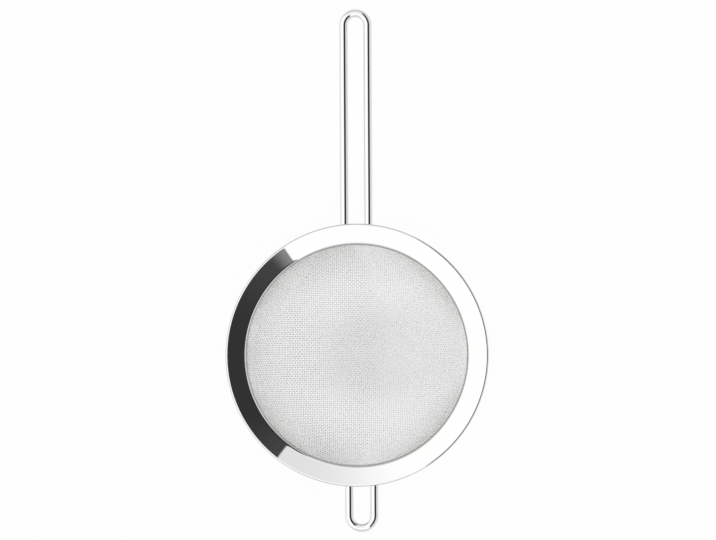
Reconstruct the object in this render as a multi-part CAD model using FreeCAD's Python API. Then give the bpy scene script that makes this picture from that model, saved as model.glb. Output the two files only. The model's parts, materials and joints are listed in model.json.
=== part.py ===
import FreeCAD, Part
import math
import os

# A hand strainer: a polished rim with a rolled edge, a bowl of woven wire cloth that a ring clamps
# under it, a long wire loop for a handle and a short wire loop that rests on a pot's edge.
# Millimetres. The origin is on the bowl's axis, level with the collar's lower edge.
# +Y runs to the handle and +Z is up.

# Rim, one drawn sheet
collar_inner_radius = 82.7
collar_height = 8.0  # straight wall
flange_width = 16.1  # from the collar's wall to the outside of the rolled edge
rim_sheet = 0.8
roll_radius = 1.3  # outside of the rolled edge
roll_wrap_deg = 275.0  # how far the edge is rolled, counted from the flange
flange_slope_deg = 9.0  # the flange falls towards the bowl
throat_radius = 3.2  # rounding from the flange into the collar, on the show side

# Bowl, one disc of woven wire cloth
cloth_wire_diameter = 0.5
bowl_depth = 82.0  # from the collar's lower edge to the underside
skirt_clearance = 1.0  # from the skirt's top edge to the start of the throat

# Grid of openings in the bowl, which stands for the weave and is coarser than it
grid_openings_each_way = 5  # on either side of the one at the lowest point
grid_rib = 5.0  # cloth between two openings
grid_reach_deg = 85.0  # how far up the side its middle rows go, counted from the lowest point
grid_border = 4.0  # closed cloth between the grid and the clamp ring

# Ring that clamps the cloth's skirt on the collar
clamp_wall = 1.0
clamp_overhang = 1.5  # below the collar's lower edge
clamp_clearance = 0.6  # from its top edge up to the throat
clamp_edge_radius = 0.35

# Wire loops
loop_wire_diameter = 6.3
handle_length = 161.2  # from the rim's edge to the tip
handle_leg_spacing = 18.0
rest_length = 34.2  # likewise
rest_leg_spacing = 18.8
rest_offset = 3.0  # the short loop sits a little to the right of the handle's line

# Weld beads
weld_gap = 0.2  # weld metal between a wire and what it is welded to
end_bead_leg = 1.5  # fillet round a wire's end
roll_bead_radius = 1.2  # pad where a wire passes under the rolled edge

# Sizes that follow
flange_normal_deg = 90.0 + flange_slope_deg
slope = math.radians(flange_slope_deg)
rim_outer_radius = collar_inner_radius + flange_width
roll_circle_radius = rim_outer_radius - roll_radius
throat_circle_radius = collar_inner_radius + throat_radius
throat_rise = throat_radius - roll_radius + (roll_circle_radius - throat_circle_radius) * math.sin(slope)
roll_height = collar_height + throat_rise / math.cos(slope)
collar_outer_radius = collar_inner_radius + rim_sheet
cloth_thickness = 2.0 * cloth_wire_diameter
cloth_outer_radius = collar_outer_radius + cloth_thickness
clamp_outer_radius = cloth_outer_radius + clamp_wall
throat_back_radius = throat_radius - rim_sheet
throat_over_clamp = math.sqrt(throat_back_radius**2 - (throat_back_radius - cloth_thickness) ** 2)
clamp_top = collar_height + throat_over_clamp - clamp_clearance
clamp_bottom = -clamp_overhang
cloth_middle_radius = cloth_outer_radius - cloth_wire_diameter
cloth_middle_depth = bowl_depth - cloth_wire_diameter
grid_half_step_deg = grid_reach_deg / (2 * grid_openings_each_way + 1)
grid_top = clamp_bottom - grid_border
grid_cut_reach = 4.0 * cloth_thickness  # from the cloth's middle, so that a cut clears its curve
grid_rounds = 60  # rounds of correction until a point of the net is in place
loop_wire_radius = loop_wire_diameter / 2.0
loop_level = roll_height - roll_radius - weld_gap - loop_wire_radius

origin = FreeCAD.Vector(0, 0, 0)
up = FreeCAD.Vector(0, 0, 1)


def section_point(radius, height):
    return FreeCAD.Vector(radius, 0, height)


def line(start, end):
    return Part.LineSegment(start, end).toShape()


def polar_point(centre, radius, degrees):
    angle = math.radians(degrees)
    return centre + FreeCAD.Vector(radius * math.cos(angle), 0, radius * math.sin(angle))


def section_arc(centre, radius, start_deg, end_deg):
    middle_deg = (start_deg + end_deg) / 2.0
    points = [polar_point(centre, radius, degrees) for degrees in (start_deg, middle_deg, end_deg)]
    return Part.Arc(*points).toShape()


def turned(edges):
    section = Part.Face(Part.Wire(Part.__sortEdges__(edges)))
    return section.revolve(origin, up, 360)


def upright_cylinder(radius, bottom, top):
    return Part.makeCylinder(radius, top - bottom, FreeCAD.Vector(0, 0, bottom))


# Rim
throat_centre = section_point(throat_circle_radius, collar_height)
roll_centre = section_point(roll_circle_radius, roll_height)
roll_end_deg = flange_normal_deg - roll_wrap_deg


def rim_side(inset):
    # One side of the sheet, from the collar's lower edge to the roll's free edge.
    # The show side has no inset, and the back is a sheet's thickness in.
    wall_radius = collar_inner_radius + inset
    throat = throat_radius - inset
    roll = roll_radius - inset
    flange_foot = polar_point(throat_centre, throat, flange_normal_deg)
    flange_head = polar_point(roll_centre, roll, flange_normal_deg)
    edges = [
        line(section_point(wall_radius, 0), section_point(wall_radius, collar_height)),
        section_arc(throat_centre, throat, 180.0, flange_normal_deg),
        line(flange_foot, flange_head),
        section_arc(roll_centre, roll, flange_normal_deg, roll_end_deg),
    ]
    return edges, polar_point(roll_centre, roll, roll_end_deg)


def make_rim():
    show_side, show_end = rim_side(0.0)
    back_side, back_end = rim_side(rim_sheet)
    lower_edge = line(section_point(collar_inner_radius, 0), section_point(collar_outer_radius, 0))
    return turned(show_side + back_side + [lower_edge, line(show_end, back_end)])


# Bowl
def bowl_quarter(radius, depth):
    # Quarter ellipse from the bowl's lowest point up to its side.
    if radius >= depth:
        ellipse = Part.Ellipse(section_point(radius, 0), section_point(0, depth), origin)
        return ellipse.toShape(1.5 * math.pi, 2.0 * math.pi)
    ellipse = Part.Ellipse(section_point(0, -depth), section_point(radius, 0), origin)
    return ellipse.toShape(0, 0.5 * math.pi)


def filled_bowl(radius, depth):
    skirt_top = collar_height - skirt_clearance
    centre_top = section_point(0, skirt_top)
    side_top = section_point(radius, skirt_top)
    return turned(
        [
            bowl_quarter(radius, depth),
            line(section_point(radius, 0), side_top),
            line(side_top, centre_top),
            line(centre_top, section_point(0, -depth)),
        ]
    )


def on_cloth(point):
    # Where the line from the origin through a point meets the middle of the cloth.
    flat = (point.x**2 + point.y**2) / cloth_middle_radius**2
    return point * (1.0 / math.sqrt(flat + point.z**2 / cloth_middle_depth**2))


def grid_quarter():
    # Points of a quarter of the cloth, half a step of the grid apart. The two rows through the lowest
    # point run straight up the side. Every other point keeps those rows' distances from the points
    # before it on its own two rows, because woven wires keep their spacing and only shear.
    count = 2 * grid_openings_each_way + 2
    net = {}
    for place in range(count):
        angle = math.radians(place * grid_half_step_deg)
        out = cloth_middle_radius * math.sin(angle)
        height = -cloth_middle_depth * math.cos(angle)
        net[place, 0] = FreeCAD.Vector(out, 0, height)
        net[0, place] = FreeCAD.Vector(0, out, height)
    for across in range(1, count):
        for along in range(1, count):
            before, beside = net[across - 1, along], net[across, along - 1]
            step_across = net[across, 0].distanceToPoint(net[across - 1, 0])
            step_along = net[0, along].distanceToPoint(net[0, along - 1])
            point = before + beside - net[across - 1, along - 1]
            for turn in range(grid_rounds):
                point = before + (point - before).normalize() * step_across
                point = beside + (point - beside).normalize() * step_along
                point = on_cloth(point)
            net[across, along] = point
    return net


def grid_opening(net, across, along):
    # Prism through the cloth, whose four sides follow the wires that run across and along there.
    def place(row, column):
        point = net[abs(row), abs(column)]
        return FreeCAD.Vector(math.copysign(point.x, row), math.copysign(point.y, column), point.z)

    def side(start, end):
        # From the opening's middle to its side: half a step of the grid, less half a rib.
        step = end - start
        return FreeCAD.Vector(step).normalize() * ((step.Length - grid_rib) / 2.0)

    half_across = side(place(across - 1, along), place(across + 1, along))
    half_along = side(place(across, along - 1), place(across, along + 1))
    reach = half_across.cross(half_along).normalize() * grid_cut_reach
    foot = place(across, along) - reach
    corners = [
        foot - half_across - half_along,
        foot + half_across - half_along,
        foot + half_across + half_along,
        foot - half_across + half_along,
    ]
    outline = Part.makePolygon(corners + corners[:1])
    return Part.Face(outline).extrude(reach * 2.0)


def grid_openings():
    # An opening whose middle is below the border is cut, as far up as the border.
    net = grid_quarter()
    below = upright_cylinder(rim_outer_radius, -bowl_depth - grid_cut_reach, grid_top)
    rows = range(-2 * grid_openings_each_way, 2 * grid_openings_each_way + 1, 2)
    openings = []
    for across in rows:
        for along in rows:
            if net[abs(across), abs(along)].z < grid_top:
                openings.append(grid_opening(net, across, along).common(below))
    return openings


def make_bowl():
    inside = filled_bowl(collar_outer_radius, bowl_depth - cloth_thickness)
    shell = filled_bowl(cloth_outer_radius, bowl_depth).cut(inside)
    return shell.cut(grid_openings())


# Clamp ring
def make_clamp_ring():
    outside = upright_cylinder(clamp_outer_radius, clamp_bottom, clamp_top)
    inside = upright_cylinder(cloth_outer_radius, clamp_bottom, clamp_top)
    ring = outside.cut(inside)
    rims = [edge for edge in ring.Edges if isinstance(edge.Curve, Part.Circle)]
    return ring.makeFillet(clamp_edge_radius, rims)


# Wire loops, made towards +Y or -Y
def make_loop(length, leg_spacing, offset, way):
    bend_radius = leg_spacing / 2.0
    tip = way * (rim_outer_radius + length - loop_wire_radius)
    bend = tip - way * bend_radius
    root = way * collar_inner_radius / 2.0
    right_root = FreeCAD.Vector(offset + bend_radius, root, loop_level)
    right_bend = FreeCAD.Vector(offset + bend_radius, bend, loop_level)
    left_bend = FreeCAD.Vector(offset - bend_radius, bend, loop_level)
    left_root = FreeCAD.Vector(offset - bend_radius, root, loop_level)
    path = Part.Wire(
        [
            line(right_root, right_bend),
            Part.Arc(right_bend, FreeCAD.Vector(offset, tip, loop_level), left_bend).toShape(),
            line(left_bend, left_root),
        ]
    )
    wire_section = Part.Wire(Part.makeCircle(loop_wire_radius, right_root, FreeCAD.Vector(0, way, 0)))
    loop = path.makePipeShell([wire_section], True, False)
    # The ends are coped to the clamp ring, with room for the weld.
    cope_bottom = loop_level - loop_wire_diameter
    cope_top = loop_level + loop_wire_diameter
    return loop.cut(upright_cylinder(clamp_outer_radius + weld_gap, cope_bottom, cope_top))


# Weld beads of one loop: a fillet round each wire end and a pad under the rolled edge
def make_welds(loop, leg_spacing, offset, way):
    ring_body = upright_cylinder(clamp_outer_radius, clamp_bottom, clamp_top)
    flat_bottom = clamp_bottom + clamp_edge_radius
    flat_top = clamp_top - clamp_edge_radius
    ring_zone = upright_cylinder(rim_outer_radius, flat_bottom, flat_top)
    roll_body = Part.makeTorus(roll_circle_radius, roll_radius, FreeCAD.Vector(0, 0, roll_height))
    welds = []
    for side in (-1, 1):
        leg = offset + side * leg_spacing / 2.0
        ring_face = math.sqrt(clamp_outer_radius**2 - leg**2)
        length = end_bead_leg + loop_wire_radius
        foot = FreeCAD.Vector(leg, way * (ring_face - loop_wire_radius), loop_level)
        fillet = Part.makeCone(
            loop_wire_radius + length, loop_wire_radius, length, foot, FreeCAD.Vector(0, way, 0)
        )
        welds.append(fillet.common(ring_zone).cut(ring_body).cut(loop))
        crossing = math.sqrt(roll_circle_radius**2 - leg**2)
        foot = FreeCAD.Vector(leg, way * crossing, loop_level)
        pad = Part.makeCylinder(roll_bead_radius, roll_height - loop_level, foot)
        welds.append(pad.cut(roll_body).cut(loop))
    return Part.makeCompound([solid for weld in welds for solid in weld.Solids])


handle_loop = make_loop(handle_length, handle_leg_spacing, 0.0, 1)
rest_loop = make_loop(rest_length, rest_leg_spacing, rest_offset, -1)
nodes = {
    "rim_flange": make_rim(),
    "mesh_bowl": make_bowl(),
    "clamp_ring": make_clamp_ring(),
    "handle_loop": handle_loop,
    "rest_loop": rest_loop,
    "handle_welds": make_welds(handle_loop, handle_leg_spacing, 0.0, 1),
    "rest_loop_welds": make_welds(rest_loop, rest_leg_spacing, rest_offset, -1),
}

os.makedirs("parts", exist_ok=True)
for name, shape in nodes.items():
    shape.exportStep(f"parts/{name}.step")
    box = shape.optimalBoundingBox()
    print(
        f"{name}: {len(shape.Solids)} solids, valid {shape.isValid()}, {shape.Volume:.1f} mm3,",
        f"x {box.XMin:.2f} to {box.XMax:.2f}, y {box.YMin:.2f} to {box.YMax:.2f},",
        f"z {box.ZMin:.2f} to {box.ZMax:.2f}",
    )
print(
    f"rolled edge at {roll_height:.3f}, loop wires at {loop_level:.3f},",
    f"clamp ring's top at {clamp_top:.3f}",
)
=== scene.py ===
import json
import math

import bpy
import numpy as np
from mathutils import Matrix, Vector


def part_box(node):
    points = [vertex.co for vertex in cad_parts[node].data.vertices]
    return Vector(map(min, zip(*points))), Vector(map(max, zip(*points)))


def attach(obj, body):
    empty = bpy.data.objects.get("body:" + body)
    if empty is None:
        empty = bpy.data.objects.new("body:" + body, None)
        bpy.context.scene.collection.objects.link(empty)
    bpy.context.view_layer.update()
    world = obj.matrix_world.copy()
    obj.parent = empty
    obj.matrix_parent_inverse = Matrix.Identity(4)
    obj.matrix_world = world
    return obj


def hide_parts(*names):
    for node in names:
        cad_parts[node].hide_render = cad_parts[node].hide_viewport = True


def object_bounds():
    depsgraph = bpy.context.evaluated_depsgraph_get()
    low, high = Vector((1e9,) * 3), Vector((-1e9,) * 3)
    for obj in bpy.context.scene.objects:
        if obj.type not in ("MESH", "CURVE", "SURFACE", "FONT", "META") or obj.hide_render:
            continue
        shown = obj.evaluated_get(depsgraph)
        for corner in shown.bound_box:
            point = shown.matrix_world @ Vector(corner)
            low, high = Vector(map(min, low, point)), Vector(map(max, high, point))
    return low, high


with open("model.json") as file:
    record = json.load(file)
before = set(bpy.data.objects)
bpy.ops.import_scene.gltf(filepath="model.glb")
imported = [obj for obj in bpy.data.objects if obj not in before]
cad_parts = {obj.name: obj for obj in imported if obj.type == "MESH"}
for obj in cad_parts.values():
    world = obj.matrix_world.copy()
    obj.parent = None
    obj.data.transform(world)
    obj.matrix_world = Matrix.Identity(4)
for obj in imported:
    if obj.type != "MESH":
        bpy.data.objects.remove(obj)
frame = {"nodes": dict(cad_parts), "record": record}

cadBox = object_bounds()
print("frame loaded with", len(frame["nodes"]), "solid pieces")

# sizes that the frame gives, in metres; radii are read off boxes, to a tenth of a millimetre
mouth = next(mount for mount in frame["record"]["mounts"] if mount["name"] == "mouth")
collarRadius = mouth["dims"]["r_mm"] / 1000.0
collarHeight = mouth["dims"]["length_mm"] / 1000.0
rimRadius = round(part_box("rim_flange")[1].y, 4)
bandLow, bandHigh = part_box("clamp_ring")
bandRadius = round(bandHigh.y, 4)
bowlLow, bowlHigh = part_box("mesh_bowl")
bowlRadius = round(bowlHigh.x, 4)
floorLevel = cadBox[0].z

# mesh helpers


def cellCorners(grid):
    # the four corners of every cell of a grid, in order round the cell
    corners = np.stack([grid[:-1, :-1], grid[1:, :-1], grid[1:, 1:], grid[:-1, 1:]], axis=2)
    return corners.reshape((-1, 4) + grid.shape[2:])


def unit(vectors):
    # each vector divided by its length
    return vectors / np.linalg.norm(vectors, axis=-1, keepdims=True)


def outward(surface):
    # a closed surface whose faces enclose a negative volume is inside out, so its faces are turned round
    points, faces = surface["points"], surface["quads"]
    first, second, third, fourth = (points[faces[:, corner]] for corner in range(4))
    volume = (np.cross(first, second) * third).sum() + (np.cross(first, third) * fourth).sum()
    if volume < 0.0:
        for name in ("quads", "quadMap", "tris", "triMap"):
            surface[name] = surface[name][:, ::-1]
    return surface


def ringSurface(points):
    # a grid that is closed both ways, such as a closed section carried round a ring
    rows, columns = points.shape[:2]
    index = np.arange(rows * columns).reshape(rows, columns)
    index = np.vstack([index, index[:1]])
    index = np.hstack([index, index[:, :1]])
    along, across = np.meshgrid(
        np.linspace(0, 1, rows + 1), np.linspace(0, 1, columns + 1), indexing="ij"
    )
    return outward({
        "points": points.reshape(-1, 3),
        "quads": cellCorners(index),
        "quadMap": cellCorners(np.stack([along, across], axis=-1)),
        "tris": np.zeros((0, 3), int),
        "triMap": np.zeros((0, 3, 2)),
    })


def tubeSurface(rings):
    # rings along a path, joined by quads, with a fan of triangles to a middle point at both ends
    rows, sides = rings.shape[:2]
    index = np.arange(rows * sides).reshape(rows, sides)
    index = np.hstack([index, index[:, :1]])
    capShare = 0.02  # share of the map's length that each fan takes
    along, across = np.meshgrid(
        np.linspace(capShare, 1 - capShare, rows), np.linspace(0, 1, sides + 1), indexing="ij"
    )
    middles = rings[[0, -1]].mean(axis=1)
    tris, triMap = [], []
    for row, middle, end, turn in ((0, rows * sides, 0.0, -1), (rows - 1, rows * sides + 1, 1.0, 1)):
        fan = np.stack([index[row, :-1], index[row, 1:], np.full(sides, middle)], axis=1)
        edge = np.stack([along[row], across[row]], axis=-1)
        tip = np.stack([np.full(sides, end), (across[row, :-1] + across[row, 1:]) / 2], axis=-1)
        tris.append(fan[:, ::turn])
        triMap.append(np.stack([edge[:-1], edge[1:], tip], axis=1)[:, ::turn])
    return outward({
        "points": np.vstack([rings.reshape(-1, 3), middles]),
        "quads": cellCorners(index)[:, ::-1],
        "quadMap": cellCorners(np.stack([along, across], axis=-1))[:, ::-1],
        "tris": np.vstack(tris)[:, ::-1],
        "triMap": np.vstack(triMap)[:, ::-1],
    })


def makePiece(name, surfaces, node, material):
    # puts the surfaces into one mesh, each with its own strip of the map
    count = len(surfaces)
    margin = 0.01  # share of a strip that stays free along both of its sides
    offsets = np.cumsum([0] + [len(surface["points"]) for surface in surfaces[:-1]])
    quads = np.vstack([surface["quads"] + offset for surface, offset in zip(surfaces, offsets)])
    tris = np.vstack([surface["tris"] + offset for surface, offset in zip(surfaces, offsets)])
    strip = np.array([1.0, (1.0 - 2.0 * margin) / count])
    shifts = [np.array([0.0, (row + margin) / count]) for row in range(count)]
    maps = []
    for kind in ("quadMap", "triMap"):
        placed = [surface[kind] * strip + shift for surface, shift in zip(surfaces, shifts)]
        maps.append(np.vstack(placed).ravel())
    points = np.vstack([surface["points"] for surface in surfaces])
    corners = np.concatenate([quads.ravel(), tris.ravel()])
    starts = np.concatenate([np.arange(len(quads)) * 4, quads.size + np.arange(len(tris)) * 3])
    mesh = bpy.data.meshes.new(name)
    mesh.vertices.add(len(points))
    mesh.vertices.foreach_set("co", points.astype(np.float32).ravel())
    mesh.loops.add(len(corners))
    mesh.loops.foreach_set("vertex_index", corners.astype(np.int32))
    mesh.polygons.add(len(starts))
    mesh.polygons.foreach_set("loop_start", starts.astype(np.int32))
    layer = mesh.uv_layers.new(name="OFBake")
    layer.uv.foreach_set("vector", np.concatenate(maps).astype(np.float32))
    mesh.update(calc_edges=True)
    mesh.validate()
    mesh.shade_smooth()
    mesh.materials.append(material)
    piece = bpy.data.objects.new(name, mesh)
    bpy.context.scene.collection.objects.link(piece)
    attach(piece, "root")
    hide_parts(node)
    print(name, "made with", len(quads) * 2 + len(tris), "triangles")


def arc(centre, radius, startDegrees, endDegrees, count):
    # points on a circle in radius and height
    angles = np.radians(np.linspace(startDegrees, endDegrees, count))
    return np.stack([centre[0] + radius * np.cos(angles), centre[1] + radius * np.sin(angles)], axis=-1)


def turned(section, segments):
    # a section in radius and height, carried round the bowl's axis
    angles = np.linspace(0.0, 2.0 * np.pi, segments, endpoint=False)[:, None]
    radii, heights = section[None, :, 0], section[None, :, 1]
    return np.stack([radii * np.cos(angles), radii * np.sin(angles), heights + 0.0 * angles], axis=-1)


def circles(centres, radius, aside, upwards, sides):
    # a ring of points round each centre, in the plane of its two directions
    around = np.linspace(0.0, 2.0 * np.pi, sides, endpoint=False)[None, :, None]
    directions = np.cos(around) * aside[:, None] + np.sin(around) * upwards[:, None]
    return centres[:, None] + radius * directions


# material helpers
finish = {
    "lineRange": (0.3, 0.75),  # noise between which a polish line goes from smooth to rough
    "hazeRange": (0.42, 0.68),  # noise between which the haze goes from none to full
}


def newNode(tree, kind, inputs=None, **settings):
    # inputs are sockets to link or plain values, by name or number
    node = tree.nodes.new(kind)
    for name, value in settings.items():
        setattr(node, name, value)
    for name, value in (inputs or {}).items():
        if isinstance(value, bpy.types.NodeSocket):
            tree.links.new(value, node.inputs[name])
        else:
            node.inputs[name].default_value = value
    return node


def mathNode(tree, operation, first, second=0.0):
    # one operation on two numbers
    return newNode(tree, "ShaderNodeMath", {0: first, 1: second}, operation=operation).outputs[0]


def vectorNode(tree, operation, *vectors):
    # one operation on vectors: a length or distance is a number, and the others are vectors
    node = newNode(tree, "ShaderNodeVectorMath", dict(enumerate(vectors)), operation=operation)
    return node.outputs["Value" if operation in ("LENGTH", "DISTANCE") else "Vector"]


def smoothStep(tree, value, start, end, low=0.0, high=1.0):
    # rises smoothly from low at start to high at end
    node = newNode(tree, "ShaderNodeMapRange", {
        "Value": value, "From Min": start, "From Max": end, "To Min": low, "To Max": high,
    }, interpolation_type="SMOOTHSTEP")
    return node.outputs["Result"]


def newGroup(name, inputs, outputs):
    # an empty group with its named sockets
    group = bpy.data.node_groups.new(name, "ShaderNodeTree")
    for socketName, kind in inputs.items():
        group.interface.new_socket(socketName, in_out="INPUT", socket_type=kind)
    for socketName, kind in outputs.items():
        group.interface.new_socket(socketName, in_out="OUTPUT", socket_type=kind)
    return group, group.nodes.new("NodeGroupInput"), group.nodes.new("NodeGroupOutput")


def makePolishLines():
    # fine lines that follow the first two parts of the coordinate and change quickly along the third
    group, given, result = newGroup(
        "polishLines",
        {"Vector": "NodeSocketVector", "Fineness": "NodeSocketFloat"},
        {"Lines": "NodeSocketFloat"},
    )
    stretch = newNode(group, "ShaderNodeCombineXYZ", {
        "X": 1.0, "Y": 1.0, "Z": given.outputs["Fineness"],
    })
    spread = vectorNode(group, "MULTIPLY", given.outputs["Vector"], stretch.outputs[0])
    fine = newNode(group, "ShaderNodeTexNoise", {
        "Vector": spread, "Scale": 1.0, "Detail": 3.0, "Roughness": 0.7,
    })
    group.links.new(fine.outputs["Fac"], result.inputs["Lines"])
    return group


def makeHandlingHaze():
    # soft patches where the polish is a little duller
    group, given, result = newGroup(
        "handlingHaze",
        {"Vector": "NodeSocketVector", "Scale": "NodeSocketFloat"},
        {"Haze": "NodeSocketFloat"},
    )
    cloud = newNode(group, "ShaderNodeTexNoise", {
        "Vector": given.outputs["Vector"], "Scale": given.outputs["Scale"],
        "Detail": 4.0, "Roughness": 0.6, "Distortion": 0.4,
    })
    patch = smoothStep(group, cloud.outputs["Fac"], *finish["hazeRange"])
    group.links.new(patch, result.inputs["Haze"])
    return group


polishLines = makePolishLines()
handlingHaze = makeHandlingHaze()


def darkenedAndDulled(tree, mask, darkColour, dullRough, colour, rough):
    # darker and duller where the mask is 1; in the throat's crease the darkening is painted shade
    dark = newNode(tree, "ShaderNodeMix", {0: mask, 6: colour}, data_type="RGBA")
    dark.inputs[7].default_value = darkColour + (1.0,)
    return dark.outputs[2], mathNode(tree, "ADD", rough, mathNode(tree, "MULTIPLY", mask, dullRough))


def creaseShadedAndDulled(tree, place, look, colour, rough):
    # painted shade in the crease: darker below a height, and rougher there, where the polishing wheel
    # doesn't reach
    split = newNode(tree, "ShaderNodeSeparateXYZ", {"Vector": place.outputs["Object"]})
    # 1 low in the crease, where the painted shade is full
    crease = smoothStep(tree, split.outputs["Z"], *look["crease"], 1.0, 0.0)
    return darkenedAndDulled(tree, crease, look["creaseShadeColour"], look["creaseRough"], colour, rough)


def edgeDulled(tree, place, look, colour, rough):
    # dull beyond a radius, on the outer side of the rolled edge
    flat = vectorNode(tree, "MULTIPLY", place.outputs["Object"], (1.0, 1.0, 0.0))
    edge = smoothStep(tree, vectorNode(tree, "LENGTH", flat), *look["edge"])
    return darkenedAndDulled(tree, edge, look["edgeColour"], look["edgeRough"], colour, rough)


def steelMaterial(name, look, coordinate):
    # polished or satin steel: lines and haze move the base colour, the roughness and a faint bump
    material = bpy.data.materials.new(name)
    material.use_nodes = True
    tree = material.node_tree
    tree.nodes.clear()
    place = newNode(tree, "ShaderNodeTexCoord")
    lines = newNode(tree, "ShaderNodeGroup", {
        "Vector": coordinate(tree, place), "Fineness": look["fineness"],
    }, node_tree=polishLines).outputs["Lines"]
    haze = newNode(tree, "ShaderNodeGroup", {
        "Vector": place.outputs["Object"], "Scale": look["hazeScale"],
    }, node_tree=handlingHaze).outputs["Haze"]
    lineRough = smoothStep(tree, lines, *finish["lineRange"], look["roughLow"], look["roughHigh"])
    hazeRough = mathNode(tree, "MULTIPLY", haze, look["hazeRough"])
    rough = mathNode(tree, "ADD", lineRough, hazeRough)
    colourMix = newNode(tree, "ShaderNodeMix", {0: lines}, data_type="RGBA")
    colourMix.inputs[6].default_value = look["colourLow"] + (1.0,)
    colourMix.inputs[7].default_value = look["colourHigh"] + (1.0,)
    colour = colourMix.outputs[2]
    # painted shade in a crease, darker and rougher, where the look gives one
    if "crease" in look:
        colour, rough = creaseShadedAndDulled(tree, place, look, colour, rough)
    if "edge" in look:
        colour, rough = edgeDulled(tree, place, look, colour, rough)
    bump = newNode(tree, "ShaderNodeBump", {
        "Height": lines, "Strength": look["bump"], "Distance": look["bumpDepth"],
    })
    shader = newNode(tree, "ShaderNodeBsdfPrincipled", {
        "Base Color": colour, "Roughness": rough, "Metallic": 1.0, "Normal": bump.outputs["Normal"],
    })
    newNode(tree, "ShaderNodeOutputMaterial", {"Surface": shader.outputs["BSDF"]})
    return material


def roundAxis(tree, place):
    # direction round the bowl's axis, and radius less height as the quick part
    split = newNode(tree, "ShaderNodeSeparateXYZ", {"Vector": place.outputs["Object"]})
    flat = newNode(tree, "ShaderNodeCombineXYZ", {"X": split.outputs["X"], "Y": split.outputs["Y"]})
    radius = vectorNode(tree, "LENGTH", flat.outputs[0])
    direction = vectorNode(tree, "NORMALIZE", flat.outputs[0])
    quick = mathNode(tree, "SUBTRACT", radius, split.outputs["Z"])
    parts = newNode(tree, "ShaderNodeSeparateXYZ", {"Vector": direction})
    return newNode(tree, "ShaderNodeCombineXYZ", {
        "X": parts.outputs["X"], "Y": parts.outputs["Y"], "Z": quick,
    }).outputs[0]


def alongMap(tree, place):
    # the piece's own map: along the wire, then round it as the quick part
    split = newNode(tree, "ShaderNodeSeparateXYZ", {"Vector": place.outputs["UV"]})
    return newNode(tree, "ShaderNodeCombineXYZ", {
        "X": split.outputs["X"], "Z": split.outputs["Y"],
    }).outputs[0]


# rim: one drawn sheet with a rolled edge
rim = {
    "sheet": 0.0008,
    "rollRadius": 0.0013,
    "rollWrap": 275.0,  # degrees from the flange round to the free edge
    "slope": 9.0,  # degrees that the flange falls towards the bowl
    "throatRadius": 0.0032,
    "shadedThroat": (0.5, 0.9),  # the throat has painted shade and is rougher up to here, in shares of its radius above the collar
    "dullRoll": (0.7, 0.25),  # the roll is dull from here, in shares of its radius inside the rim's edge
    "wallPoints": 5,  # points on each stretch of the section
    "throatPoints": 22,
    "flangePoints": 12,
    "rollPoints": 60,
    "freeEdgePoints": 7,
    "lowerEdgePoints": 9,
    "segments": 360,
}
rimSteel = steelMaterial("polishedRimSteel", {
    # painted shade: the throat's crease is darker and rougher below these heights
    "crease": [collarHeight + share * rim["throatRadius"] for share in rim["shadedThroat"]],
    "creaseShadeColour": (0.43, 0.43, 0.425),
    "creaseRough": 0.12,
    "edge": [rimRadius - share * rim["rollRadius"] for share in rim["dullRoll"]],
    "edgeColour": (0.68, 0.68, 0.675),
    "edgeRough": 0.03,
    "fineness": 2600.0,
    "hazeScale": 28.0,
    "roughLow": 0.008,
    "roughHigh": 0.022,
    "hazeRough": 0.012,
    "colourLow": (0.86, 0.86, 0.855),
    "colourHigh": (0.92, 0.92, 0.915),
    "bump": 0.003,
    "bumpDepth": 0.0002,
}, roundAxis)

rollCircle = rimRadius - rim["rollRadius"]
throatCircle = collarRadius + rim["throatRadius"]
slope = math.radians(rim["slope"])
throatRise = rim["throatRadius"] - rim["rollRadius"] + (rollCircle - throatCircle) * math.sin(slope)
rollHeight = collarHeight + throatRise / math.cos(slope)
flangeNormal = 90.0 + rim["slope"]  # degrees, in radius and height
rollEnd = flangeNormal - rim["rollWrap"]


def rimSide(inset):
    # one side of the sheet: up the collar's wall, round the throat, along the flange and round the roll
    heights = np.linspace(rim["sheet"] / 2, collarHeight, rim["wallPoints"])[:-1]
    wall = np.stack([np.full(len(heights), collarRadius + inset), heights], axis=-1)
    throatSize = rim["throatRadius"] - inset
    throat = arc((throatCircle, collarHeight), throatSize, 180.0, flangeNormal, rim["throatPoints"])
    rollSize = rim["rollRadius"] - inset
    roll = arc((rollCircle, rollHeight), rollSize, flangeNormal, rollEnd, rim["rollPoints"])
    share = np.linspace(0.0, 1.0, rim["flangePoints"])[1:-1, None]
    flange = throat[-1] * (1 - share) + roll[0] * share
    return np.vstack([wall, throat, flange, roll])


def rimSection():
    # the show side, round the roll's free edge, back along the other side and round the collar's lower edge
    half = rim["sheet"] / 2
    endAngle = math.radians(rollEnd)
    outwards = np.array([math.cos(endAngle), math.sin(endAngle)])
    onwards = np.array([math.sin(endAngle), -math.cos(endAngle)])
    middle = np.array([rollCircle, rollHeight]) + (rim["rollRadius"] - half) * outwards
    turn = np.radians(np.linspace(0.0, 180.0, rim["freeEdgePoints"])[1:-1, None])
    freeEdge = middle + half * (np.cos(turn) * outwards + np.sin(turn) * onwards)
    lowerEdge = arc((collarRadius + half, half), half, 0.0, -180.0, rim["lowerEdgePoints"])[1:-1]
    return np.vstack([rimSide(0.0), freeEdge, rimSide(rim["sheet"])[::-1], lowerEdge])


rimSheet = ringSurface(turned(rimSection(), rim["segments"]))
makePiece("rimFlange", [rimSheet], "rim_flange", rimSteel)

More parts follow.
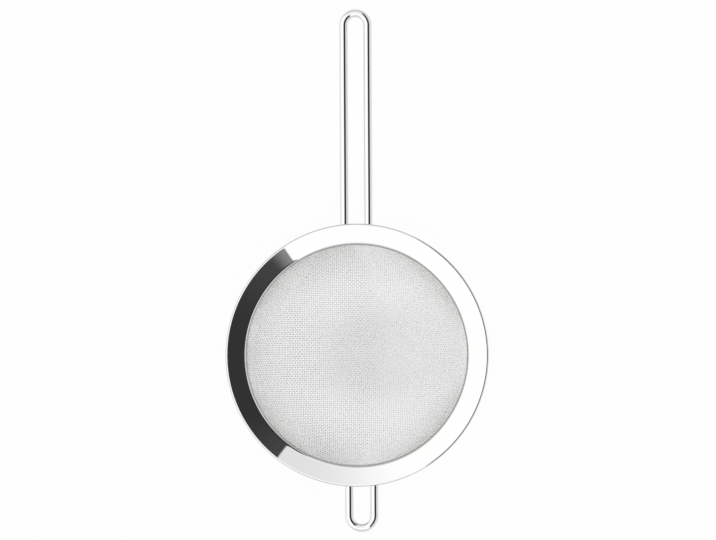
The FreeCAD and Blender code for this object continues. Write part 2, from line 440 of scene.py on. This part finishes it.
# clamp band that pinches the cloth on the collar
band = {
    "edgeRadius": 0.00035,
    "spots": 28,  # spot welds round the band
    "spotRadius": 0.0019,
    "spotDepth": 0.00016,
    "outerPoints": 24,  # points on each stretch of the section
    "innerPoints": 6,
    "edgePoints": 5,
    "segments": 1400,
}
bandSteel = steelMaterial("satinBandSteel", {
    "fineness": 1800.0,
    "hazeScale": 35.0,
    "roughLow": 0.2,
    "roughHigh": 0.36,
    "hazeRough": 0.06,
    "colourLow": (0.66, 0.66, 0.65),
    "colourHigh": (0.74, 0.74, 0.73),
    "bump": 0.12,
    "bumpDepth": 0.0002,
}, roundAxis)


def bandSection(edge, low, high):
    # up the outer face, over the rounded top, down the inner face and round the rounded bottom
    count = band["edgePoints"]
    outerHeights = np.linspace(low, high, band["outerPoints"])[:-1]
    innerHeights = np.linspace(high, low, band["innerPoints"])[1:-1]
    return np.vstack([
        np.stack([np.full(len(outerHeights), bandRadius), outerHeights], axis=-1),
        arc((bandRadius - edge, high), edge, 0.0, 90.0, count),
        arc((bowlRadius + edge, high), edge, 90.0, 180.0, count),
        np.stack([np.full(len(innerHeights), bowlRadius), innerHeights], axis=-1),
        arc((bowlRadius + edge, low), edge, 180.0, 270.0, count),
        arc((bandRadius - edge, low), edge, 270.0, 360.0, count)[:-1],
    ])


def bandPoints():
    # the section turned round the axis, its outer face pressed in by a soft round dent at each spot weld
    edge = band["edgeRadius"]
    low, high = bandLow.z + edge, bandHigh.z - edge
    section = bandSection(edge, low, high)
    points = turned(section, band["segments"])
    angles = np.linspace(0.0, 2.0 * np.pi, band["segments"], endpoint=False)[:, None]
    spacing = 2.0 * np.pi / band["spots"]
    across = ((angles / spacing + 0.5) % 1.0 - 0.5) * spacing * bandRadius
    away = np.hypot(across, section[None, :, 1] - (low + high) / 2) / band["spotRadius"]
    dent = band["spotDepth"] * (1.0 - np.clip(away, 0.0, 1.0) ** 2) ** 2
    dent = np.where(section[None, :, 0] > bandRadius - edge / 2, dent, 0.0)
    points[:, :, 0] -= dent * np.cos(angles)
    points[:, :, 1] -= dent * np.sin(angles)
    return points


makePiece("clampBand", [ringSurface(bandPoints())], "clamp_ring", bandSteel)

# wire loops: the long handle and the short loop that rests on a pot
loops = {
    "sides": 40,
    "legRings": 60,
    "bendRings": 64,
    "endInBand": 0.0004,  # how far a wire's end runs into the clamp band
}
loopSteel = steelMaterial("polishedLoopSteel", {
    "fineness": 160.0,
    "hazeScale": 40.0,
    "roughLow": 0.03,
    "roughHigh": 0.07,
    "hazeRough": 0.02,
    "colourLow": (0.86, 0.86, 0.855),
    "colourHigh": (0.92, 0.92, 0.915),
    "bump": 0.005,
    "bumpDepth": 0.0002,
}, alongMap)


def loopFacts(node):
    # leg places, wire radius and bend of a loop, read off its box; the loop runs towards +Y or -Y
    low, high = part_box(node)
    wireRadius = (high.z - low.z) / 2
    way = 1.0 if high.y > -low.y else -1.0
    middle = (low.x + high.x) / 2
    bendRadius = (high.x - low.x) / 2 - wireRadius
    tip = (high.y if way > 0 else -low.y) - wireRadius
    return {
        "middle": middle,
        "legs": middle + np.array([1.0, -1.0]) * bendRadius,
        "level": (low.z + high.z) / 2,
        "wireRadius": wireRadius,
        "bendRadius": bendRadius,
        "bend": tip - bendRadius,
        "way": way,
    }


def loopRings(facts):
    # a circle carried up one leg, round the half circle of the bend and down the other leg
    legs, way = facts["legs"], facts["way"]
    roots = np.sqrt(bandRadius**2 - legs**2) - loops["endInBand"]
    rise = np.linspace(roots[0], facts["bend"], loops["legRings"])[:-1]
    fall = np.linspace(facts["bend"], roots[1], loops["legRings"])[1:]
    turn = np.linspace(0.0, np.pi, loops["bendRings"])
    bendX = facts["middle"] + facts["bendRadius"] * np.cos(turn)
    bendY = facts["bend"] + facts["bendRadius"] * np.sin(turn)
    x = np.concatenate([np.full(len(rise), legs[0]), bendX, np.full(len(fall), legs[1])])
    y = np.concatenate([rise, bendY, fall])
    sideways = np.concatenate([np.zeros(len(rise)), turn, np.full(len(fall), np.pi)])
    aside = np.stack([np.cos(sideways), way * np.sin(sideways), np.zeros(len(x))], axis=-1)
    centres = np.stack([x, way * y, np.full(len(x), facts["level"])], axis=-1)
    upwards = np.array([[0.0, 0.0, 1.0]])
    return circles(centres, facts["wireRadius"], aside, upwards, loops["sides"])


handleFacts = loopFacts("handle_loop")
restFacts = loopFacts("rest_loop")
makePiece("handleLoop", [tubeSurface(loopRings(handleFacts))], "handle_loop", loopSteel)
makePiece("restLoop", [tubeSurface(loopRings(restFacts))], "rest_loop", loopSteel)

# weld beads: a fillet round each wire's end and a pad where the wire passes under the rolled edge
weld = {
    "fillet": 0.0015,
    "ripples": 13,  # ripples round a fillet
    "rippleShare": 0.07,
    "rippleShift": 9.0,  # sets the ripples apart from leg to leg
    "padRadius": 0.0012,
    "padWaist": 0.2,  # share that a pad is drawn in by, half way up
    "padLobes": 7,  # lobes round a pad
    "padLobeShare": 0.03,
    "padTwist": 3.0,  # radians that the lobes shift by from a pad's foot to its top
    "sunk": 0.0003,  # how far a bead reaches into what it joins
    "around": 96,  # points round a bead, and then across a fillet and up a pad
    "filletPoints": 10,
    "padPoints": 9,
}
weldSteel = steelMaterial("weldSteel", {
    "fineness": 40.0,
    "hazeScale": 300.0,
    "roughLow": 0.22,
    "roughHigh": 0.4,
    "hazeRough": 0.1,
    "colourLow": (0.5, 0.46, 0.42),
    "colourHigh": (0.66, 0.64, 0.62),
    "bump": 0.2,
    "bumpDepth": 0.0003,
}, alongMap)


def filletRings(facts, leg):
    # a hollow quarter circle between wire and band, carried round the wire's sides and underside as far up
    # as the band's top edge; its size ripples along the bead
    head = (bandHigh.z - band["edgeRadius"] - facts["level"]) / (facts["wireRadius"] + weld["fillet"])
    lift = math.asin(head)
    around = np.linspace(-np.pi - lift, lift, weld["around"])[:, None]
    shift = weld["rippleShift"] * leg / facts["bendRadius"]
    ripple = 0.5 + 0.5 * np.cos(weld["ripples"] * around + shift)
    size = weld["fillet"] * (1.0 - weld["rippleShare"] * ripple)
    turn = np.radians(np.linspace(0.0, 90.0, weld["filletPoints"]))[None, :]
    hidden = np.full_like(around, -weld["sunk"])
    reach = np.hstack([size * (1.0 - np.cos(turn)), size, hidden, hidden]) + facts["wireRadius"]
    height = np.hstack([size * (1.0 - np.sin(turn)), hidden, hidden, size - weld["sunk"]])
    x = leg + reach * np.cos(around)
    y = facts["way"] * (np.sqrt(bandRadius**2 - x**2) + height)
    return np.stack([x, y, facts["level"] + reach * np.sin(around)], axis=-1)


def padRings(facts, leg):
    # an upright pad, drawn in at its waist, from the wire's top to the underside of the roll
    around = np.linspace(0.0, 2.0 * np.pi, weld["around"], endpoint=False)[None, :]
    rise = np.linspace(0.0, 1.0, weld["padPoints"])[:, None]
    waist = weld["padWaist"] * np.sin(np.pi * rise)
    lobes = weld["padLobeShare"] * np.sin(weld["padLobes"] * around + weld["padTwist"] * rise)
    radius = weld["padRadius"] * (1.0 - waist + lobes)
    x = leg + radius * np.cos(around)
    crossing = math.sqrt(rollCircle**2 - leg**2)
    y = crossing + radius * np.sin(around)
    wireTop = facts["level"] + np.sqrt(facts["wireRadius"] ** 2 - (x - leg) ** 2)
    fromRoll = np.hypot(x, y) - rollCircle
    rollUnder = rollHeight - np.sqrt(np.maximum(rim["rollRadius"] ** 2 - fromRoll**2, 0.0))
    z = (wireTop - weld["sunk"]) * (1.0 - rise) + (rollUnder + weld["sunk"]) * rise
    return np.stack([x, facts["way"] * y, z], axis=-1)


def weldBeads(facts):
    # a fillet and a pad on both legs of a loop
    fillets = [tubeSurface(filletRings(facts, leg)) for leg in facts["legs"]]
    pads = [tubeSurface(padRings(facts, leg)) for leg in facts["legs"]]
    return fillets + pads


makePiece("handleWelds", weldBeads(handleFacts), "handle_welds", weldSteel)
makePiece("restLoopWelds", weldBeads(restFacts), "rest_loop_welds", weldSteel)

# wire cloth: every wire of the woven bowl
cloth = {
    "wire": 0.0005,
    "pitchAcross": 0.00155,  # between wires that run along Y
    "pitchAlong": 0.0017,  # between wires that run along X
    "netReach": 1.7,  # the net is worked out this many bowl radii from its middle, past the skirt's top
    "fitSteps": 8,  # rounds that bring a front of crossings onto the bowl
    "ringShift": 0.25,  # rings of points lie this share of a pitch either side of a crossing
    "sides": 6,
    "parts": 3,  # pieces that each of the two directions of wire is cut into
}
clothSteel = steelMaterial("clothSteel", {
    "fineness": 200.0,
    "hazeScale": 60.0,
    "roughLow": 0.09,
    "roughHigh": 0.18,
    "hazeRough": 0.04,
    "colourLow": (0.9, 0.9, 0.895),
    "colourHigh": (0.96, 0.96, 0.955),
    "bump": 0.0,
    "bumpDepth": 0.0001,
}, alongMap)
clothRadius = bowlRadius - cloth["wire"]
clothDepth = -bowlLow.z - cloth["wire"]


def clothSlope(points):
    # how far points are off the cloth's middle surface, an ellipsoid with a straight skirt above it, and
    # the gradient there
    scale = np.array([1.0 / clothRadius**2, 1.0 / clothRadius**2, 1.0 / clothDepth**2])
    low = np.stack([points[..., 0], points[..., 1], np.minimum(points[..., 2], 0.0)], axis=-1)
    return (low**2 * scale).sum(axis=-1) - 1.0, 2.0 * low * scale


def meridian(lengths):
    # radius and height of points at these lengths from the bowl's lowest point up its side
    turn = np.linspace(0.0, np.pi / 2.0, 2001)
    skirtTop = 10.0 * collarHeight  # higher than any wire is followed
    radii = np.append(clothRadius * np.sin(turn), clothRadius)
    heights = np.append(-clothDepth * np.cos(turn), skirtTop)
    along = np.append(0.0, np.cumsum(np.hypot(np.diff(radii), np.diff(heights))))
    return np.interp(lengths, along, radii), np.interp(lengths, along, heights)


def clothQuarter():
    # The crossings of a quarter of the cloth. Both middle wires run straight up the side. Every other
    # crossing is one pitch from the crossing before it on both of its wires and lies on the bowl, because
    # woven wires keep their spacing and only shear, so the net grows front by front from the lowest point.
    across, along = cloth["pitchAcross"], cloth["pitchAlong"]
    columns = int(cloth["netReach"] * clothRadius / across)
    rows = int(cloth["netReach"] * clothRadius / along)
    net = np.full((columns, rows, 3), np.nan)
    radii, heights = meridian(np.arange(columns) * across)
    net[:, 0] = np.stack([radii, 0.0 * radii, heights], axis=-1)
    radii, heights = meridian(np.arange(rows) * along)
    net[0, :] = np.stack([0.0 * radii, radii, heights], axis=-1)
    for front in range(2, columns + rows - 1):
        i = np.arange(max(1, front - rows + 1), min(front - 1, columns - 1) + 1)
        j = front - i
        use = np.isfinite(net[i - 1, j, 0] + net[i, j - 1, 0]) & (net[i - 1, j - 1, 2] < bowlHigh.z)
        i, j = i[use], j[use]
        before, beside = net[i - 1, j], net[i, j - 1]
        points = before + beside - net[i - 1, j - 1]
        for step in range(cloth["fitSteps"] if len(i) else 0):
            off, gradient = clothSlope(points)
            fromBefore, fromBeside = points - before, points - beside
            missAcross = (fromBefore**2).sum(axis=1) - across**2
            missAlong = (fromBeside**2).sum(axis=1) - along**2
            miss = np.stack([off, missAcross, missAlong], axis=1)
            turnTo = np.stack([gradient, 2.0 * fromBefore, 2.0 * fromBeside], axis=1)
            points = points - np.linalg.solve(turnTo, miss[:, :, None])[:, :, 0]
        net[i, j] = points
    return net


def clothNet():
    # the quarter, mirrored over both middle wires
    quarter = clothQuarter()
    half = np.concatenate([quarter[:0:-1] * [-1.0, 1.0, 1.0], quarter], axis=0)
    return np.concatenate([half[:, :0:-1] * [1.0, -1.0, 1.0], half], axis=1)


def neighbours(values, valid, step, missing):
    # the values one place on or back along the second direction, where they are valid
    return np.where(np.roll(valid, step, axis=1)[..., None], np.roll(values, step, axis=1), missing)


def wovenWires(net, over):
    # Wires that run along the second direction of the net. A wire passes over one crossing and under the
    # next, half a wire's thickness off the middle surface, with a ring of points either side of a crossing.
    inside = np.isfinite(net[..., 2]) & (net[..., 2] <= bowlHigh.z)
    normals = unit(clothSlope(np.nan_to_num(net, nan=clothRadius))[1])
    ahead = neighbours(net, inside, -1, np.nan)
    behind = neighbours(net, inside, 1, np.nan)
    forward = np.where(np.isfinite(ahead), ahead - net, net - behind)
    backward = np.where(np.isfinite(behind), net - behind, ahead - net)
    lifted = net + normals * (over * cloth["wire"] / 2)[..., None]
    shift = cloth["ringShift"]
    shape = (net.shape[0], net.shape[1] * 2)
    centres = np.stack([lifted - shift * backward, lifted + shift * forward], axis=2).reshape(shape + (3,))
    valid = np.repeat(inside & np.isfinite(forward[..., 0]), 2, axis=1)
    run = neighbours(centres, valid, -1, centres) - neighbours(centres, valid, 1, centres)
    wires, rows = np.nonzero(valid)
    along = unit(run[wires, rows])
    aside = unit(np.cross(along, np.repeat(normals, 2, axis=1)[wires, rows]))
    upwards = np.cross(aside, along)
    number = np.full(shape, -1)
    number[wires, rows] = np.arange(len(wires))
    rings = circles(centres[wires, rows], cloth["wire"] / 2, aside, upwards, cloth["sides"])
    return {"rings": rings, "number": number, "valid": valid}


def wireFaces(woven, firstWire, lastWire):
    # the wires from firstWire up to lastWire as one surface: quads between rings and flat ends
    sides = cloth["sides"]
    valid = woven["valid"][firstWire:lastWire]
    number = woven["number"][firstWire:lastWire]
    start = number[valid].min()
    number = number - start
    points = woven["rings"][start:start + valid.sum()].reshape(-1, 3)
    wires, rows = np.nonzero(valid[:, :-1] & valid[:, 1:])
    side = np.arange(sides)
    after = (side + 1) % sides
    here = number[wires, rows][:, None] * sides
    there = number[wires, rows + 1][:, None] * sides
    quads = np.stack([here + side, here + after, there + after, there + side], axis=-1).reshape(-1, 4)
    u = np.stack([rows, rows, rows + 1, rows + 1], axis=-1)[:, None, :] / valid.shape[1]
    lane = np.stack([side, side + 1, side + 1, side], axis=-1)[None] / (sides + 1.0)
    v = (wires[:, None, None] + lane) / len(valid)
    quadMap = np.stack([np.repeat(u, sides, axis=1), v], axis=-1).reshape(-1, 4, 2)
    padded = np.pad(valid, ((0, 0), (1, 1)))
    fans, fanMaps = [], []
    fan = np.stack([np.zeros(sides - 2, int), side[1:-1], side[2:]], axis=-1)
    for ends, turn in ((valid & ~padded[:, :-2], -1), (valid & ~padded[:, 2:], 1)):
        wires, rows = np.nonzero(ends)
        fans.append((number[wires, rows][:, None, None] * sides + fan[None, :, ::turn]).reshape(-1, 3))
        spot = np.stack([rows / valid.shape[1], (wires + 0.5) / len(valid)], axis=-1)[:, None, None, :]
        fanMaps.append((spot + np.zeros((1, sides - 2, 3, 1))).reshape(-1, 3, 2))
    return outward({
        "points": points,
        "quads": quads,
        "quadMap": quadMap,
        "tris": np.vstack(fans),
        "triMap": np.vstack(fanMaps),
    })


crossings = clothNet()
wireSum = np.arange(crossings.shape[0])[:, None] + np.arange(crossings.shape[1])[None, :]
over = np.where(wireSum % 2 == 0, 1.0, -1.0)  # plain weave: over and under by turns
wireSets = {
    "Warp": wovenWires(crossings, over),
    "Weft": wovenWires(crossings.transpose(1, 0, 2), -over.T),
}
for name, woven in wireSets.items():
    share = np.cumsum(woven["valid"].sum(axis=1)) / woven["valid"].sum()
    inner = np.searchsorted(share, np.arange(1, cloth["parts"]) / cloth["parts"])
    cuts = [0, *inner, len(share)]
    for part in range(cloth["parts"]):
        wires = wireFaces(woven, cuts[part], cuts[part + 1])
        makePiece("cloth" + name + str(part + 1), [wires], "mesh_bowl", clothSteel)

# floor, in plain white for the camera
ground = {
    "size": 8.0,
    "grey": 0.9,
    "cameraWhite": 0.94,  # share of plain white that the camera sees in the floor
    "underBowl": 0.5,  # the same under the bowl, where the shadow shows more
    "shadowMiddle": 0.025,  # the shadow lies this far to the right
    "shadowRadius": (0.03, 0.085),  # where the camera's share starts and stops to rise
    "shadowSquash": 1.45,  # it is this many times as wide as long
    "mirrorGrey": (1.0, 0.85),  # floor as mirrors see it, under the bowl and away from it
    "mirrorRadius": (0.09, 0.13),  # where the first starts to change and the second is reached
}
plainWhite = (1.0, 1.0, 1.0, 1.0)


def mirrorRays(tree, path):
    # 1 for rays that come from metal or glass
    return mathNode(tree, "MAXIMUM", path.outputs["Is Glossy Ray"], path.outputs["Is Transmission Ray"])


def makeFloor():
    # a flat square; the camera and mirrors see it nearly white, and it keeps a soft shadow
    half = ground["size"] / 2
    mesh = bpy.data.meshes.new("floor")
    corners = [(x * half, y * half, floorLevel) for x, y in ((-1, -1), (1, -1), (1, 1), (-1, 1))]
    mesh.from_pydata(corners, [], [(0, 1, 2, 3)])
    floor = bpy.data.objects.new("floor", mesh)
    bpy.context.scene.collection.objects.link(floor)
    material = bpy.data.materials.new("paleFloor")
    material.use_nodes = True
    tree = material.node_tree
    tree.nodes.clear()
    grey = ground["grey"]
    matt = newNode(tree, "ShaderNodeBsdfDiffuse", {"Color": (grey, grey, grey, 1.0)})
    white = newNode(tree, "ShaderNodeEmission", {"Color": plainWhite, "Strength": 1.0})
    path = newNode(tree, "ShaderNodeLightPath")
    place = newNode(tree, "ShaderNodeTexCoord").outputs["Object"]
    squashed = vectorNode(tree, "MULTIPLY", place, (1.0, ground["shadowSquash"], 0.0))
    inShadow = vectorNode(tree, "DISTANCE", squashed, (ground["shadowMiddle"], 0.0, 0.0))
    seen = smoothStep(tree, inShadow, *ground["shadowRadius"], ground["underBowl"], ground["cameraWhite"])
    share = mathNode(tree, "MULTIPLY", path.outputs["Is Camera Ray"], seen)
    plain = newNode(tree, "ShaderNodeMixShader", {0: share, 1: matt.outputs[0], 2: white.outputs[0]})
    away = vectorNode(tree, "DISTANCE", place, (0.0, 0.0, floorLevel))
    paleness = smoothStep(tree, away, *ground["mirrorRadius"], *ground["mirrorGrey"])
    pale = newNode(tree, "ShaderNodeEmission", {"Color": plainWhite, "Strength": paleness})
    mixed = newNode(tree, "ShaderNodeMixShader", {
        0: mirrorRays(tree, path), 1: plain.outputs[0], 2: pale.outputs[0],
    })
    newNode(tree, "ShaderNodeOutputMaterial", {"Surface": mixed.outputs[0]})
    mesh.materials.append(material)


# white studio that mirrors see; x and y are a direction's sideways parts over its upward part
sky = {
    "overhead": 1.12,  # softbox
    "horizon": 0.95,
    "rise": (-0.05, 0.45),  # upward parts at which the horizon's level ends and the softbox is full
    "leastRise": 0.02,  # upward part that x and y count with from there down
    "rightSide": 0.82,  # grey to the right, past the dark card's end
    "rightRise": (0.0, 0.1),  # upward parts between which it comes in
    "strip": 0.84,  # grey strip past the card's far edge
    "stripX": (-0.2, 0.2),  # where it comes in
    "stripY": (0.35, 0.6),  # where it fades out
    "farEnd": (0.66, 0.45, 0.85),  # grey towards the far end, and the Y parts where it starts and is full
    "nearEnd": (0.74, 0.65, 0.9),  # the same towards the near end
}

# dark card overhead, which the rim's left side mirrors; both long edges start overhead and bend once
card = {
    "dark": 0.036,
    "nearGlow": (0.2, 0.095),  # it is lighter along its near edge: by how much, and how far in
    "wideGlow": (0.03, 0.41),  # and a little lighter further in
    "farGlow": (0.025, 0.3),  # and along its far edge
    "left": 0.01,
    "leftBlur": 0.05,
    "edgeBlur": 0.004,
    "nearEdge": {"bend": (0.17, -0.267), "slopes": (1.57, 1.7)},  # slopes left and right of the bend
    "farEdge": {"bend": (0.1925, 0.232), "slopes": (1.22, 2.5)},
    "end": (0.55, 0.62),  # upward parts at which its right end starts and is full
}


def edgeSpread(tree, x, edge):
    # how far outwards of its bend the card's edge lies at x: the greater of its two slopes' rises
    past = mathNode(tree, "SUBTRACT", x, edge["bend"][0])
    before, after = [mathNode(tree, "MULTIPLY", past, slope) for slope in edge["slopes"]]
    return mathNode(tree, "MAXIMUM", before, after)


def makeWorld():
    # plain white for the camera and for soft light; mirrors see the white studio with the dark card
    world = bpy.data.worlds.new("studio")
    bpy.context.scene.world = world
    world.use_nodes = True
    world.cycles.sampling_method = "NONE"
    tree = world.node_tree
    tree.nodes.clear()
    place = newNode(tree, "ShaderNodeTexCoord")
    parts = newNode(tree, "ShaderNodeSeparateXYZ", {"Vector": place.outputs["Generated"]})
    up = parts.outputs["Z"]
    height = mathNode(tree, "MAXIMUM", up, sky["leastRise"])
    x = mathNode(tree, "DIVIDE", parts.outputs["X"], height)
    y = mathNode(tree, "DIVIDE", parts.outputs["Y"], height)

    # where the card is
    near, far, blur = card["nearEdge"]["bend"][1], card["farEdge"]["bend"][1], card["edgeBlur"]
    nearGap = mathNode(tree, "ADD", y, edgeSpread(tree, x, card["nearEdge"]))
    farGap = mathNode(tree, "SUBTRACT", y, edgeSpread(tree, x, card["farEdge"]))
    fromLeft = smoothStep(tree, x, card["left"] - card["leftBlur"], card["left"] + card["leftBlur"])
    pastNear = smoothStep(tree, nearGap, near - blur, near + blur)
    pastFar = smoothStep(tree, farGap, far - blur, far + blur)
    between = mathNode(tree, "MULTIPLY", pastNear, mathNode(tree, "SUBTRACT", 1.0, pastFar))
    wedge = mathNode(tree, "MULTIPLY", fromLeft, between)
    onCard = mathNode(tree, "MULTIPLY", wedge, smoothStep(tree, up, *card["end"]))

    # how light the card is
    cardLevel = card["dark"]
    for glow, reach in (card["nearGlow"], card["wideGlow"]):
        nearLight = smoothStep(tree, nearGap, near, near + reach, glow, 0.0)
        cardLevel = mathNode(tree, "ADD", nearLight, cardLevel)
    glow, reach = card["farGlow"]
    farLight = smoothStep(tree, farGap, far - reach, far, 0.0, glow)
    cardLevel = mathNode(tree, "ADD", farLight, cardLevel)

    # how light the studio is round it
    level = smoothStep(tree, up, *sky["rise"], sky["horizon"], sky["overhead"])
    atRight = mathNode(tree, "MULTIPLY", wedge, smoothStep(tree, up, *sky["rightRise"]))
    rightDim = smoothStep(tree, atRight, 0.0, 1.0, 1.0, sky["rightSide"] / sky["overhead"])
    strip = mathNode(tree, "MULTIPLY", pastFar, smoothStep(tree, x, *sky["stripX"]))
    strip = mathNode(tree, "MULTIPLY", strip, smoothStep(tree, y, *sky["stripY"], 1.0, 0.0))
    stripDim = smoothStep(tree, strip, 0.0, 1.0, 1.0, sky["strip"] / sky["overhead"])
    endDims = []
    for way, (grey, start, full) in ((1.0, sky["farEnd"]), (-1.0, sky["nearEnd"])):
        along = mathNode(tree, "MULTIPLY", parts.outputs["Y"], way)
        endDims.append(smoothStep(tree, along, start, full, 1.0, grey / sky["overhead"]))
    endDim = mathNode(tree, "MULTIPLY", *endDims)
    level = mathNode(tree, "MULTIPLY", level, mathNode(tree, "MULTIPLY", rightDim, stripDim))
    level = mathNode(tree, "MULTIPLY", level, endDim)

    shade = newNode(tree, "ShaderNodeMapRange", {"Value": onCard, "To Min": level, "To Max": cardLevel})
    mirror = newNode(tree, "ShaderNodeBackground", {
        "Color": plainWhite, "Strength": shade.outputs["Result"],
    })
    plain = newNode(tree, "ShaderNodeBackground", {"Color": plainWhite, "Strength": 1.0})
    path = newNode(tree, "ShaderNodeLightPath")
    mixed = newNode(tree, "ShaderNodeMixShader", {
        0: mirrorRays(tree, path), 1: plain.outputs[0], 2: mirror.outputs[0],
    })
    newNode(tree, "ShaderNodeOutputWorld", {"Surface": mixed.outputs[0]})


# camera straight above, as in the photograph
view = {
    "height": 5.0,  # camera above the rim's crest
    "wide": 0.5374,  # metres across the picture at the rim's crest
    "roll": -0.3,  # degrees
    "middle": (0.00103, 0.06395),  # point under the middle of the picture
    "sensor": 36.0,
}


def makeCamera():
    # the lens follows from the height and the picture's width
    data = bpy.data.cameras.new("photoCamera")
    data.sensor_width = view["sensor"]
    data.lens = view["sensor"] * view["height"] / view["wide"]
    camera = bpy.data.objects.new("photoCamera", data)
    bpy.context.scene.collection.objects.link(camera)
    crest = rollHeight + rim["rollRadius"]
    camera.location = (*view["middle"], crest + view["height"])
    camera.rotation_euler = (0.0, 0.0, math.radians(view["roll"]))
    bpy.context.scene.camera = camera


makeFloor()
makeWorld()
makeCamera()
bpy.context.scene.view_settings.view_transform = "Standard"
print("floor, world and camera set")
